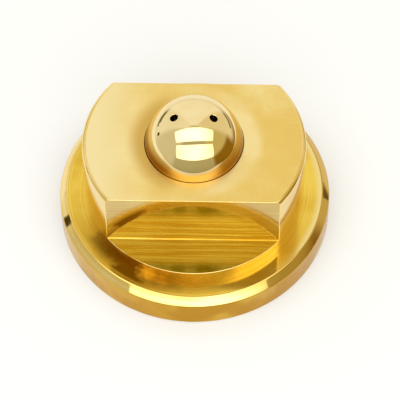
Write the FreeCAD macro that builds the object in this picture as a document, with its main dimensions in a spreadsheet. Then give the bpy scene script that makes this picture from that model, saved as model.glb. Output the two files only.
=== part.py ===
import FreeCAD, Part
import os
import re
import Sketcher

# A piston-type water pressure regulator for a caravan or motorhome, as a parametric document.
# Millimetres, +Z up, origin at the centre of the mounting face under the flange.
# Water comes in at the middle of the mounting face, passes the strainer, the poppet and the seat ring,
# pushes the piston up against the main spring and leaves through the ring of holes around the inlet.
# The dome on top is the adjuster: turned with a pin spanner, it presses the spring through a thrust ball.

# ---------------------------------------------------------------------------------------------------
# Driving dimensions
# ---------------------------------------------------------------------------------------------------

SIZES = {
    # flange, outside
    "flange_radius": 29.0,
    "flange_wall": 6.4,
    "rim_chamfer": 1.5,
    "foot_break": 0.4,
    "floor_thickness": 3.5,
    # bonnet, outside
    "boss_radius": 23.5,
    "boss_rise": 17.5,
    "boss_chamfer": 0.6,
    "ledge_rise": 3.0,
    "flat_distance": 15.0,
    # adjusting dome
    "dome_radius": 10.4,
    "dome_sink": 1.0,
    "dome_wall": 2.0,
    "dome_drop": 1.3,
    "dome_roof_rise": 2.0,
    "spanner_reach": 4.1,
    "spanner_hole_radius": 0.85,
    # clearances
    "thread_gap": 0.05,
    "run_gap": 0.07,
    "seal_gap": 0.05,
    "face_gap": 0.05,
    "spigot_gap": 0.2,
    # inlet tube and mounting face
    "tube_radius": 6.5,
    "tube_rise": 7.6,
    "tube_break": 0.3,
    "inlet_radius": 4.4,
    "pocket_radius": 4.9,
    "clip_lip": 0.6,
    "clip_thickness": 0.6,
    "clip_bite": 0.4,
    "clip_width": 0.75,
    "clip_opening": 2.6,
    "clip_lug_radius": 0.8,
    "clip_lug_hole": 0.4,
    "clip_lug_spread": 1.75,
    "strainer_thickness": 0.8,
    "strainer_rim": 0.8,
    "screen_thickness": 0.3,
    "screen_hole_radius": 0.32,
    "screen_pitch": 1.05,
    "inner_seal_radius": 6.7,
    "inner_seal_cord": 1.3,
    "outlet_radius": 9.6,
    "outlet_width": 2.6,
    "outlet_depth": 1.2,
    "outlet_hole_radius": 1.2,
    "outer_seal_radius": 13.7,
    "outer_seal_cord": 1.8,
    "groove_slack": 0.2,
    "bolt_inset": 5.0,
    "bolt_hole_radius": 1.65,
    "bolt_depth": 5.5,
    # seat ring
    "seat_radius": 5.4,
    "seat_depth": 2.0,
    "orifice_radius": 2.6,
    "lip_width": 0.6,
    "lip_height": 0.5,
    "seat_slot_width": 1.0,
    "seat_slot_depth": 0.6,
    "seat_seal_cord": 0.8,
    # poppet
    "open_gap": 1.0,
    "head_radius": 3.6,
    "head_thickness": 0.8,
    "stem_radius": 1.2,
    "disc_radius": 3.4,
    "disc_thickness": 0.8,
    "washer_radius": 2.1,
    "washer_thickness": 0.3,
    "guide_thickness": 0.8,
    "guide_rim": 0.8,
    "guide_hub_radius": 2.1,
    "guide_hub_height": 2.4,
    "guide_spoke_width": 1.2,
    "tail_reach": 0.4,
    "poppet_spring_radius": 2.85,
    "poppet_spring_wire": 0.25,
    "poppet_spring_turns": 4.0,
    # piston and cylinder
    "cylinder_radius": 11.0,
    "counterbore_step": 1.5,
    "cylinder_below": 1.2,
    "counterbore_lead": 0.8,
    "piston_lift": 1.5,
    "piston_floor": 2.0,
    "piston_height": 5.0,
    "piston_break": 0.4,
    "piston_seal_cord": 1.6,
    "piston_seal_rise": 0.8,
    "guide_ring_depth": 0.6,
    "guide_ring_width": 1.0,
    "guide_ring_rise": 3.5,
    "stop_ring_width": 0.9,
    "stop_slot_width": 3.0,
    "piston_headroom": 0.4,
    # bonnet, inside
    "spigot_inner_wall": 2.5,
    "spigot_outer_wall": 2.5,
    "spigot_lead": 0.5,
    "bonnet_seal_cord": 1.8,
    "bore_break": 0.1,
    "dome_seal_cord": 1.4,
    "dome_seal_land": 0.9,
    # main spring, button and ball
    "spring_gap": 0.3,
    "spring_wire": 0.85,
    "spring_turns": 4.25,
    "button_thickness": 1.5,
    "button_spigot": 1.4,
    "button_gap": 0.5,
    "ball_radius": 2.0,
    "ball_dip": 0.8,
}

# Heights above the mounting face and radii that follow from the driving dimensions.
DERIVED = {
    "flange_top": "flange_wall + rim_chamfer",
    "boss_top": "flange_top + boss_rise",
    "ledge_level": "flange_top + ledge_rise",
    "dome_centre": "boss_top - dome_sink",
    "tube_top": "floor_thickness + tube_rise",
    "seat_shelf": "tube_top - seat_depth",
    "seat_lip": "seat_shelf - lip_height",
    "clip_top": "clip_lip + clip_thickness",
    "strainer_top": "clip_top + strainer_thickness",
    "pocket_depth": "strainer_top + guide_thickness",
    "clip_groove_radius": "pocket_radius + clip_bite",
    "bolt_circle": "flange_radius - bolt_inset",
    "bolt_offset": "bolt_circle / sqrt(2)",
    # grooves in the mounting face; a cord of rubber is drawn as it lies when squeezed
    "inner_seal_in": "inner_seal_radius - inner_seal_cord / 2 - groove_slack / 2",
    "inner_seal_out": "inner_seal_radius + inner_seal_cord / 2 + groove_slack / 2",
    "inner_seal_deep": "inner_seal_cord - groove_slack",
    "outer_seal_in": "outer_seal_radius - outer_seal_cord / 2 - groove_slack / 2",
    "outer_seal_out": "outer_seal_radius + outer_seal_cord / 2 + groove_slack / 2",
    "outer_seal_deep": "outer_seal_cord - groove_slack",
    "outlet_in": "outlet_radius - outlet_width / 2",
    "outlet_out": "outlet_radius + outlet_width / 2",
    # poppet, at rest in its open position
    "disc_top": "seat_lip - open_gap",
    "head_top": "disc_top - disc_thickness",
    "head_bottom": "head_top - head_thickness",
    "washer_top": "disc_top + washer_thickness",
    "tail_bottom": "strainer_top + tail_reach",
    # piston, at rest on the inlet tube
    "stop_bottom": "tube_top + face_gap",
    "piston_bottom": "tube_top + piston_lift",
    "piston_seat": "piston_bottom + piston_floor",
    "piston_top": "piston_bottom + piston_height",
    "piston_radius": "cylinder_radius - run_gap",
    "cup_radius": "dome_bore_radius",
    "piston_seal_bottom": "piston_bottom + piston_seal_rise",
    "piston_seal_top": "piston_seal_bottom + piston_seal_cord + groove_slack * 2",
    "piston_seal_floor": "cylinder_radius - piston_seal_cord",
    "guide_ring_bottom": "piston_bottom + guide_ring_rise",
    "guide_ring_top": "guide_ring_bottom + guide_ring_width",
    "guide_ring_floor": "piston_radius - guide_ring_depth",
    "stop_ring_out": "tube_radius - tube_break",
    "stop_ring_in": "stop_ring_out - stop_ring_width",
    # bonnet, inside and its spigot
    "spigot_bottom": "floor_thickness + spigot_gap",
    "counterbore_radius": "cylinder_radius + counterbore_step",
    "counterbore_top": "piston_bottom - cylinder_below",
    "lead_top": "counterbore_top + counterbore_lead",
    "bonnet_seal_in": "counterbore_radius + spigot_inner_wall",
    "bonnet_seal_out": "bonnet_seal_in + bonnet_seal_cord + groove_slack",
    "bonnet_seal_deep": "bonnet_seal_cord - groove_slack * 2",
    "spigot_radius": "bonnet_seal_out + spigot_outer_wall - thread_gap",
    "recess_radius": "spigot_radius + thread_gap",
    "dome_hole_radius": "dome_radius + thread_gap",
    "thread_bottom": "piston_top + open_gap + piston_headroom",
    "dome_seal_top": "boss_top - dome_seal_land",
    "dome_seal_bottom": "dome_seal_top - dome_seal_cord - groove_slack",
    "dome_seal_floor": "dome_hole_radius + dome_seal_cord",
    # dome, button and ball
    "dome_bottom": "thread_bottom + dome_drop",
    "dome_bore_radius": "dome_radius - dome_wall",
    "dome_roof": "boss_top + dome_roof_rise",
    "button_top": "dome_roof - button_gap",
    "button_bottom": "button_top - button_thickness",
    "ball_centre": "button_top - ball_dip + ball_radius",
    "ball_pocket_top": "ball_centre + ball_radius + face_gap",
    # springs
    "spring_mean_radius": "cup_radius - spring_gap - spring_wire",
    "spring_inner_radius": "spring_mean_radius - spring_wire",
}

OUTLET_HOLES = 8
BOLT_HOLES = 4
GUIDE_SPOKES = 3
SCREEN_RINGS = 3
HOLES_PER_SCREEN_RING = 6

WORD = re.compile(r"[a-z_]+(?![a-z_(])")

doc = FreeCAD.newDocument("PressureRegulator")
sheet = doc.addObject("Spreadsheet::Sheet", "Sizes")
for row, (size_name, size_value) in enumerate(SIZES.items(), start=1):
    sheet.set(f"A{row}", size_name)
    sheet.set(f"B{row}", str(size_value))
    sheet.setAlias(f"B{row}", size_name)
doc.recompute()


# ---------------------------------------------------------------------------------------------------
# Sizes, sketches and features
# ---------------------------------------------------------------------------------------------------

def bound(text):
    """The sheet expression for a size written in the words of SIZES and DERIVED."""

    def swap(match):
        word = match.group(0)
        if word in DERIVED:
            return f"({bound(DERIVED[word])})"
        return f"Sizes.{word}"

    return WORD.sub(swap, text)


def value(text):
    return float(sheet.evalExpression(bound(text)))


def new_body(label):
    body = doc.addObject("PartDesign::Body", label)
    body.Label = label
    return body


def origin_feature(body, role):
    return next(item for item in body.Origin.OriginFeatures if item.Role == role)


def new_sketch(body, role, name, level="0"):
    """A sketch on one of the body's own origin planes, level above it along its normal."""
    sketch = body.newObject("Sketcher::SketchObject", name)
    sketch.AttachmentSupport = (origin_feature(body, role), [""])
    sketch.MapMode = "FlatFace"
    if level != "0":
        sketch.setExpression(".AttachmentOffset.Base.z", bound(level))
    return sketch


def pin_distance(sketch, kind, geometry, point, text):
    """Fixes one coordinate of a sketch point to the sheet, measured from the sketch's origin."""
    axis = -2 if kind == "DistanceX" else -1
    if text == "0":
        sketch.addConstraint(Sketcher.Constraint("PointOnObject", geometry, point, axis))
        return
    negative = text.startswith("-")
    size = text[1:] if negative else text
    ends = (geometry, point, -1, 1) if negative else (-1, 1, geometry, point)
    index = sketch.addConstraint(Sketcher.Constraint(kind, *ends, value(size)))
    sketch.setExpression(f"Constraints[{index}]", bound(size))


def signed(text):
    if text == "0":
        return 0.0
    if text.startswith("-"):
        return -value(text[1:])
    return value(text)


def add_polygon(sketch, corners):
    """A closed outline whose corners, given as (across, up), are bound to the sheet."""
    places = [FreeCAD.Vector(signed(across), signed(up), 0) for across, up in corners]
    count = len(places)
    first = sketch.GeometryCount
    for i in range(count):
        sketch.addGeometry(Part.LineSegment(places[i], places[(i + 1) % count]))
    for i in range(count):
        sketch.addConstraint(Sketcher.Constraint("Coincident", first + i, 2, first + (i + 1) % count, 1))
    for i, (across, up) in enumerate(corners):
        pin_distance(sketch, "DistanceX", first + i, 1, across)
        pin_distance(sketch, "DistanceY", first + i, 1, up)


def add_circle(sketch, across, up, radius):
    centre = FreeCAD.Vector(signed(across), signed(up), 0)
    index = sketch.addGeometry(Part.Circle(centre, FreeCAD.Vector(0, 0, 1), value(radius)))
    pin_distance(sketch, "DistanceX", index, 3, across)
    pin_distance(sketch, "DistanceY", index, 3, up)
    rule = sketch.addConstraint(Sketcher.Constraint("Radius", index, value(radius)))
    sketch.setExpression(f"Constraints[{rule}]", bound(radius))


def add_rectangle(sketch, half_width, low, high):
    """A rectangle centred on the sketch's upright axis, from low to high."""
    corners = [(f"-{half_width}", low), (half_width, low), (half_width, high), (f"-{half_width}", high)]
    add_polygon(sketch, corners)


def revolved(body, name, corners):
    sketch = new_sketch(body, "XZ_Plane", f"{name}Profile")
    add_polygon(sketch, corners)
    turn = body.newObject("PartDesign::Revolution", name)
    turn.Profile = sketch
    turn.ReferenceAxis = (sketch, ["V_Axis"])
    turn.Angle = 360.0
    return turn


def padded(body, name, sketch, length):
    pad = body.newObject("PartDesign::Pad", name)
    pad.Profile = sketch
    pad.setExpression("Length", bound(length))
    return pad


def cut_up(body, name, sketch, depth=None):
    """A pocket that goes up from its sketch: right through, or to a depth."""
    pocket = body.newObject("PartDesign::Pocket", name)
    pocket.Profile = sketch
    pocket.Reversed = True
    if depth is None:
        pocket.Type = "ThroughAll"
    else:
        pocket.setExpression("Length", bound(depth))
    return pocket


def cut_down(body, name, sketch, depth):
    pocket = body.newObject("PartDesign::Pocket", name)
    pocket.Profile = sketch
    pocket.setExpression("Length", bound(depth))
    return pocket


def around(body, name, feature, count):
    """Repeats a feature evenly around the Z axis."""
    doc.recompute()
    pattern = body.newObject("PartDesign::PolarPattern", name)
    pattern.Originals = [feature]
    pattern.Axis = (origin_feature(body, "Z_Axis"), [""])
    pattern.Angle = 360.0
    pattern.Occurrences = count
    body.Tip = pattern
    doc.recompute()
    return pattern


def ring_of_cord(label, mean_radius, cord_radius, level):
    """A round rubber ring lying flat, its cord's centre at a level."""
    ring = doc.addObject("Part::Torus", label)
    ring.Label = label
    ring.setExpression("Radius1", bound(mean_radius))
    ring.setExpression("Radius2", bound(cord_radius))
    ring.setExpression("Placement.Base.z", bound(level))
    return ring


def coil(label, mean_radius, wire_radius, bottom, top, turns):
    """A round-wire spring between two faces, its ends just clear of both."""
    body = new_body(label)
    sketch = new_sketch(body, "XZ_Plane", "WireSection")
    add_circle(sketch, mean_radius, f"{bottom} + {wire_radius} + face_gap", wire_radius)
    helix = body.newObject("PartDesign::AdditiveHelix", "Coils")
    helix.Profile = (sketch, [""])
    helix.ReferenceAxis = (sketch, "V_Axis")
    helix.Mode = "pitch-turns-angle"
    height = f"({top} - {bottom} - 2 * {wire_radius} - 2 * face_gap)"
    helix.setExpression("Pitch", bound(f"{height} / {turns}"))
    helix.setExpression("Turns", bound(turns))
    return body


# ---------------------------------------------------------------------------------------------------
# Pieces of the fixed body
# ---------------------------------------------------------------------------------------------------

def flange_body():
    """The brass base: flange, inlet tube, outlet ring and the seal grooves of the mounting face."""
    body = new_body("flange_body")
    revolved(body, "Turning", [
        ("pocket_radius", "0"),
        ("inner_seal_in", "0"),
        ("inner_seal_in", "inner_seal_deep"),
        ("inner_seal_out", "inner_seal_deep"),
        ("inner_seal_out", "0"),
        ("outlet_in", "0"),
        ("outlet_in", "outlet_depth"),
        ("outlet_out", "outlet_depth"),
        ("outlet_out", "0"),
        ("outer_seal_in", "0"),
        ("outer_seal_in", "outer_seal_deep"),
        ("outer_seal_out", "outer_seal_deep"),
        ("outer_seal_out", "0"),
        ("flange_radius - foot_break", "0"),
        ("flange_radius", "foot_break"),
        ("flange_radius", "flange_wall"),
        ("flange_radius - rim_chamfer", "flange_top"),
        ("recess_radius", "flange_top"),
        ("recess_radius", "floor_thickness"),
        ("tube_radius", "floor_thickness"),
        ("tube_radius", "tube_top - tube_break"),
        ("tube_radius - tube_break", "tube_top"),
        ("seat_radius", "tube_top"),
        ("seat_radius", "seat_shelf"),
        ("inlet_radius", "seat_shelf"),
        ("inlet_radius", "pocket_depth"),
        ("pocket_radius", "pocket_depth"),
        ("pocket_radius", "clip_top"),
        ("clip_groove_radius", "clip_top"),
        ("clip_groove_radius", "clip_lip"),
        ("pocket_radius", "clip_lip"),
    ])
    outlets = new_sketch(body, "XY_Plane", "OutletHole")
    add_circle(outlets, "outlet_radius", "0", "outlet_hole_radius")
    around(body, "OutletHoles", cut_up(body, "OutletDrilling", outlets), OUTLET_HOLES)
    bolts = new_sketch(body, "XY_Plane", "BoltHole")
    add_circle(bolts, "bolt_offset", "bolt_offset", "bolt_hole_radius")
    around(body, "BoltHoles", cut_up(body, "BoltDrilling", bolts, "bolt_depth"), BOLT_HOLES)
    return body


def bonnet():
    """The brass top: round boss with two wrench flats, a cylinder inside and a threaded spigot below."""
    body = new_body("bonnet")
    revolved(body, "Turning", [
        ("counterbore_radius", "spigot_bottom"),
        ("bonnet_seal_in", "spigot_bottom"),
        ("bonnet_seal_in", "spigot_bottom + bonnet_seal_deep"),
        ("bonnet_seal_out", "spigot_bottom + bonnet_seal_deep"),
        ("bonnet_seal_out", "spigot_bottom"),
        ("spigot_radius - spigot_lead", "spigot_bottom"),
        ("spigot_radius", "spigot_bottom + spigot_lead"),
        ("spigot_radius", "flange_top"),
        ("boss_radius", "flange_top"),
        ("boss_radius", "boss_top - boss_chamfer"),
        ("boss_radius - boss_chamfer", "boss_top"),
        ("dome_hole_radius + bore_break", "boss_top"),
        ("dome_hole_radius", "boss_top - bore_break"),
        ("dome_hole_radius", "dome_seal_top"),
        ("dome_seal_floor", "dome_seal_top"),
        ("dome_seal_floor", "dome_seal_bottom"),
        ("dome_hole_radius", "dome_seal_bottom"),
        ("dome_hole_radius", "thread_bottom"),
        ("cylinder_radius", "thread_bottom"),
        ("cylinder_radius", "lead_top"),
        ("counterbore_radius", "counterbore_top"),
    ])
    flat = new_sketch(body, "XY_Plane", "WrenchFlatOutline", "ledge_level")
    add_rectangle(flat, "boss_radius", "flat_distance", "boss_radius + boss_chamfer")
    around(body, "WrenchFlats", cut_up(body, "WrenchFlatMilling", flat), 2)
    return body


def seat_ring():
    """The screwed-in orifice with its nozzle lip below, a seal groove and a slot for the driver."""
    body = new_body("seat_ring")
    outer = "seat_radius - thread_gap"
    groove = "seat_radius - seat_seal_cord - seal_gap"
    low = "seat_shelf + seat_slot_depth"
    high = "seat_shelf + seat_slot_depth + seat_seal_cord + seal_gap * 2"
    revolved(body, "Turning", [
        ("orifice_radius", "seat_lip"),
        ("orifice_radius + lip_width", "seat_lip"),
        ("orifice_radius + lip_width", "seat_shelf"),
        (outer, "seat_shelf"),
        (outer, low),
        (groove, low),
        (groove, high),
        (outer, high),
        (outer, "tube_top"),
        ("orifice_radius", "tube_top"),
    ])
    slot = new_sketch(body, "XY_Plane", "DriverSlotOutline", "tube_top")
    corners = [
        ("-seat_radius", "-seat_slot_width / 2"),
        ("seat_radius", "-seat_slot_width / 2"),
        ("seat_radius", "seat_slot_width / 2"),
        ("-seat_radius", "seat_slot_width / 2"),
    ]
    add_polygon(slot, corners)
    cut_down(body, "DriverSlot", slot, "seat_slot_depth - seal_gap")
    return body


def poppet_guide():
    """The spider that guides the poppet's tail and carries its spring."""
    body = new_body("poppet_guide")
    outer = "pocket_radius - seal_gap"
    rim = new_sketch(body, "XY_Plane", "RimOutline", "strainer_top")
    add_circle(rim, "0", "0", outer)
    add_circle(rim, "0", "0", "pocket_radius - guide_rim")
    padded(body, "Rim", rim, "guide_thickness")
    spoke = new_sketch(body, "XY_Plane", "SpokeOutline", "strainer_top")
    add_rectangle(spoke, "guide_spoke_width / 2", "stem_radius + run_gap", "pocket_radius - guide_rim / 2")
    around(body, "Spokes", padded(body, "Spoke", spoke, "guide_thickness"), GUIDE_SPOKES)
    hub = new_sketch(body, "XY_Plane", "HubOutline", "strainer_top")
    add_circle(hub, "0", "0", "guide_hub_radius")
    add_circle(hub, "0", "0", "stem_radius + run_gap")
    padded(body, "Hub", hub, "guide_hub_height")
    return body


def strainer_ring():
    """The grooved ring that the strainer screen is pressed into."""
    body = new_body("strainer_ring")
    outer = "pocket_radius - seal_gap"
    inner = "pocket_radius - strainer_rim"
    groove = "pocket_radius - strainer_rim / 2"
    middle = "(clip_top + strainer_top) / 2"
    half = "(screen_thickness / 2 + seal_gap)"
    revolved(body, "Turning", [
        (inner, "clip_top"),
        (outer, "clip_top"),
        (outer, "strainer_top"),
        (inner, "strainer_top"),
        (inner, f"{middle} + {half}"),
        (groove, f"{middle} + {half}"),
        (groove, f"{middle} - {half}"),
        (inner, f"{middle} - {half}"),
    ])
    return body


def strainer_screen():
    """The perforated disc that keeps grit off the seat."""
    body = new_body("strainer_screen")
    middle = "(clip_top + strainer_top) / 2"
    disc = new_sketch(body, "XY_Plane", "DiscOutline", f"{middle} - screen_thickness / 2")
    add_circle(disc, "0", "0", "pocket_radius - strainer_rim / 2 - seal_gap")
    padded(body, "Disc", disc, "screen_thickness")
    centre = new_sketch(body, "XY_Plane", "CentreHole")
    add_circle(centre, "0", "0", "screen_hole_radius")
    cut_up(body, "CentreHoleCut", centre)
    for ring in range(1, SCREEN_RINGS + 1):
        hole = new_sketch(body, "XY_Plane", f"HoleOfRing{ring}")
        add_circle(hole, f"{ring} * screen_pitch", "0", "screen_hole_radius")
        cut = cut_up(body, f"HoleCut{ring}", hole)
        around(body, f"Holes{ring}", cut, ring * HOLES_PER_SCREEN_RING)
    return body


def retaining_clip():
    """The internal circlip that holds the strainer and the guide in the inlet."""
    body = new_body("retaining_clip")
    level = "clip_lip + face_gap"
    thick = "clip_thickness - face_gap * 2"
    lug_reach = "(clip_groove_radius - seal_gap - clip_width / 2 - clip_lug_radius)"
    ring = new_sketch(body, "XY_Plane", "RingOutline", level)
    add_circle(ring, "0", "0", "clip_groove_radius - seal_gap")
    add_circle(ring, "0", "0", "clip_groove_radius - seal_gap - clip_width")
    padded(body, "Ring", ring, thick)
    for side in ("", "-"):
        lug = new_sketch(body, "XY_Plane", f"LugOutline{len(side)}", level)
        add_circle(lug, lug_reach, f"{side}clip_lug_spread", "clip_lug_radius")
        padded(body, f"Lug{len(side)}", lug, thick)
    gap = new_sketch(body, "XY_Plane", "GapOutline")
    add_polygon(gap, [
        ("inlet_radius / 2", "-clip_opening / 2"),
        ("clip_groove_radius + clip_bite", "-clip_opening / 2"),
        ("clip_groove_radius + clip_bite", "clip_opening / 2"),
        ("inlet_radius / 2", "clip_opening / 2"),
    ])
    cut_up(body, "Gap", gap)
    eyes = new_sketch(body, "XY_Plane", "PlierHoles")
    add_circle(eyes, lug_reach, "clip_lug_spread", "clip_lug_hole")
    add_circle(eyes, lug_reach, "-clip_lug_spread", "clip_lug_hole")
    cut_up(body, "PlierHoleCut", eyes)
    return body


def fixed_seals():
    """The rubber rings that stay still: two on the mounting face, one each at the bonnet, seat and dome."""
    inner = ring_of_cord(
        "inlet_face_oring", "inner_seal_radius", "inner_seal_cord / 2 - groove_slack / 2 - seal_gap",
        "inner_seal_deep / 2")
    outer = ring_of_cord(
        "outlet_face_oring", "outer_seal_radius", "outer_seal_cord / 2 - groove_slack / 2 - seal_gap",
        "outer_seal_deep / 2")
    bonnet_seal = ring_of_cord(
        "bonnet_oring", "(bonnet_seal_in + bonnet_seal_out) / 2",
        "(bonnet_seal_deep + spigot_gap) / 2 - seal_gap",
        "(floor_thickness + spigot_bottom + bonnet_seal_deep) / 2")
    seat_seal = ring_of_cord(
        "seat_oring", "seat_radius - (seat_seal_cord + seal_gap) / 2",
        "seat_seal_cord / 2 - seal_gap / 2",
        "seat_shelf + seat_slot_depth + seat_seal_cord / 2 + seal_gap")
    dome_seal = ring_of_cord(
        "dome_oring", "(dome_radius + dome_seal_floor) / 2",
        "(dome_seal_floor - dome_radius) / 2 - seal_gap",
        "(dome_seal_bottom + dome_seal_top) / 2")
    return [inner, outer, bonnet_seal, seat_seal, dome_seal]


# ---------------------------------------------------------------------------------------------------
# Pieces that move
# ---------------------------------------------------------------------------------------------------

def piston():
    """The brass piston: a cup for the main spring, a seal groove, a guide groove and a stop ring below."""
    body = new_body("piston")
    revolved(body, "Turning", [
        ("0", "piston_bottom"),
        ("stop_ring_in", "piston_bottom"),
        ("stop_ring_in", "stop_bottom"),
        ("stop_ring_out", "stop_bottom"),
        ("stop_ring_out", "piston_bottom"),
        ("piston_radius - piston_break", "piston_bottom"),
        ("piston_radius", "piston_bottom + piston_break"),
        ("piston_radius", "piston_seal_bottom"),
        ("piston_seal_floor", "piston_seal_bottom"),
        ("piston_seal_floor", "piston_seal_top"),
        ("piston_radius", "piston_seal_top"),
        ("piston_radius", "guide_ring_bottom"),
        ("guide_ring_floor", "guide_ring_bottom"),
        ("guide_ring_floor", "guide_ring_top"),
        ("piston_radius", "guide_ring_top"),
        ("piston_radius", "piston_top"),
        ("cup_radius", "piston_top"),
        ("cup_radius", "piston_seat"),
        ("0", "piston_seat"),
    ])
    slot = new_sketch(body, "XY_Plane", "FlowSlotOutline", "piston_bottom")
    add_polygon(slot, [
        ("stem_radius", "-stop_slot_width / 2"),
        ("tube_radius", "-stop_slot_width / 2"),
        ("tube_radius", "stop_slot_width / 2"),
        ("stem_radius", "stop_slot_width / 2"),
    ])
    around(body, "FlowSlots", cut_down(body, "FlowSlot", slot, "piston_lift"), 4)
    return body


def piston_oring():
    return ring_of_cord(
        "piston_oring", "cylinder_radius - piston_seal_cord / 2", "piston_seal_cord / 2 - seal_gap",
        "(piston_seal_bottom + piston_seal_top) / 2")


def piston_guide_ring():
    """The low-friction band that keeps the piston off the cylinder wall."""
    body = new_body("piston_guide_ring")
    inner = "guide_ring_floor + seal_gap"
    outer = "piston_radius + run_gap / 2"
    revolved(body, "Band", [
        (inner, "guide_ring_bottom + seal_gap"),
        (outer, "guide_ring_bottom + seal_gap"),
        (outer, "guide_ring_top - seal_gap"),
        (inner, "guide_ring_top - seal_gap"),
    ])
    return body


def poppet():
    """The valve: tail, head and a stem that reaches the piston through the seat."""
    body = new_body("poppet")
    revolved(body, "Turning", [
        ("0", "tail_bottom"),
        ("stem_radius", "tail_bottom"),
        ("stem_radius", "head_bottom"),
        ("head_radius", "head_bottom"),
        ("head_radius", "head_top"),
        ("stem_radius", "head_top"),
        ("stem_radius", "piston_bottom - face_gap"),
        ("0", "piston_bottom - face_gap"),
    ])
    return body


def poppet_disc():
    body = new_body("poppet_disc")
    revolved(body, "Washer", [
        ("stem_radius + seal_gap", "head_top + seal_gap"),
        ("disc_radius", "head_top + seal_gap"),
        ("disc_radius", "disc_top"),
        ("stem_radius + seal_gap", "disc_top"),
    ])
    return body


def disc_washer():
    body = new_body("disc_washer")
    revolved(body, "Washer", [
        ("stem_radius", "disc_top"),
        ("washer_radius", "disc_top"),
        ("washer_radius", "washer_top"),
        ("stem_radius", "washer_top"),
    ])
    return body


def adjusting_dome():
    """The hollow dome-headed adjuster: screwed skirt, ball pocket and two vent and pin-spanner holes."""
    body = new_body("adjusting_dome")
    cap = body.newObject("PartDesign::AdditiveSphere", "Cap")
    cap.Angle1 = 0.0
    cap.setExpression("Radius", bound("dome_radius"))
    cap.setExpression("Placement.Base.z", bound("dome_centre"))
    skirt = new_sketch(body, "XY_Plane", "SkirtOutline", "dome_bottom")
    add_circle(skirt, "0", "0", "dome_radius")
    padded(body, "Skirt", skirt, "dome_centre - dome_bottom")
    bore = new_sketch(body, "XY_Plane", "BoreOutline", "dome_bottom")
    add_circle(bore, "0", "0", "dome_bore_radius")
    cut_up(body, "Bore", bore, "dome_roof - dome_bottom")
    cup = new_sketch(body, "XY_Plane", "BallPocketOutline", "dome_bottom")
    add_circle(cup, "0", "0", "ball_radius + face_gap")
    cut_up(body, "BallPocket", cup, "ball_pocket_top - dome_bottom")
    holes = new_sketch(body, "XY_Plane", "SpannerHoles", "dome_bottom")
    add_circle(holes, "spanner_reach", "0", "spanner_hole_radius")
    add_circle(holes, "-spanner_reach", "0", "spanner_hole_radius")
    cut_up(body, "SpannerHoleCut", holes)
    return body


def thrust_ball():
    ball = doc.addObject("Part::Sphere", "thrust_ball")
    ball.Label = "thrust_ball"
    ball.setExpression("Radius", bound("ball_radius"))
    ball.setExpression("Placement.Base.z", bound("ball_centre"))
    return ball


def spring_button():
    """The plate that spreads the ball's push over the main spring."""
    body = new_body("spring_button")
    revolved(body, "Turning", [
        ("0", "button_bottom - button_spigot"),
        ("spring_inner_radius - spring_gap", "button_bottom - button_spigot"),
        ("spring_inner_radius - spring_gap", "button_bottom"),
        ("dome_bore_radius - spring_gap", "button_bottom"),
        ("dome_bore_radius - spring_gap", "button_top"),
        ("0", "button_top"),
    ])
    cup = body.newObject("PartDesign::SubtractiveSphere", "BallCup")
    cup.setExpression("Radius", bound("ball_radius + face_gap"))
    cup.setExpression("Placement.Base.z", bound("ball_centre"))
    return body


def main_spring():
    return coil(
        "main_spring", "spring_mean_radius", "spring_wire", "piston_seat", "button_bottom", "spring_turns")


def poppet_spring():
    return coil(
        "poppet_spring", "poppet_spring_radius", "poppet_spring_wire", "pocket_depth", "head_bottom",
        "poppet_spring_turns")


# ---------------------------------------------------------------------------------------------------
# The whole regulator, checked and written
# ---------------------------------------------------------------------------------------------------

def build():
    pieces = [flange_body(), bonnet(), seat_ring(), poppet_guide(), strainer_ring(), strainer_screen()]
    pieces += [retaining_clip()]
    pieces += fixed_seals()
    pieces += [piston(), piston_oring(), piston_guide_ring()]
    pieces += [poppet(), poppet_disc(), disc_washer()]
    pieces += [adjusting_dome(), thrust_ball(), spring_button()]
    pieces += [main_spring(), poppet_spring()]
    doc.recompute()
    return pieces


def check(pieces):
    for item in doc.Objects:
        if "Invalid" in item.State or "Error" in item.State:
            raise RuntimeError(f"{item.Label} failed: {item.State}")
    for piece in pieces:
        if piece.Shape.isNull() or not piece.Shape.isValid():
            raise RuntimeError(f"{piece.Label} has no valid shape")
        if len(piece.Shape.Solids) != 1:
            raise RuntimeError(f"{piece.Label} has {len(piece.Shape.Solids)} solids")


def write(pieces):
    os.makedirs("parts", exist_ok=True)
    for piece in pieces:
        piece.Shape.exportStep(os.path.join("parts", f"{piece.Label}.step"))
        print(f"{piece.Label:20s} {piece.Shape.Volume:10.1f} mm3")


regulator = build()
check(regulator)
write(regulator)
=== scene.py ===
import math
import bmesh
import bpy
from mathutils import Matrix, Vector


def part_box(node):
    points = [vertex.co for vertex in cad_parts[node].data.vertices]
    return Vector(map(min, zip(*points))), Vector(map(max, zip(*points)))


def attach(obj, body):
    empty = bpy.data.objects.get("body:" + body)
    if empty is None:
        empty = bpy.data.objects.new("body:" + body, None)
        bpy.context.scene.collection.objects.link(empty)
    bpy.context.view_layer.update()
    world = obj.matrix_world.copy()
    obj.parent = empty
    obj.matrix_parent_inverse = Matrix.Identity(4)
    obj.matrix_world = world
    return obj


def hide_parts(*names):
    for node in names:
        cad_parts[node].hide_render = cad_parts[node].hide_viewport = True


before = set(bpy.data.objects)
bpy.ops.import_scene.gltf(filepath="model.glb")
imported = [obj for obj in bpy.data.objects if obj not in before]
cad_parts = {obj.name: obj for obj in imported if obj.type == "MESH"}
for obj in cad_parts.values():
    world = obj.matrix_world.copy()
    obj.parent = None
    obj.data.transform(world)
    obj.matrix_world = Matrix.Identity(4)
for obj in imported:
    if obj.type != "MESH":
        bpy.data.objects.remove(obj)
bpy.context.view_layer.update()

# A flange-mounted water pressure regulator in brass: a turned flange, a screwed-in bonnet with two milled
# spanner flats, and a domed adjuster that is turned with a pin spanner. Sizes below are in millimetres.

MM = 0.001
ROUND = 360                 # steps in a full turn of a large brass piece
HOLE_ROUND = 48             # steps in a full turn of a drilled hole


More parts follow.
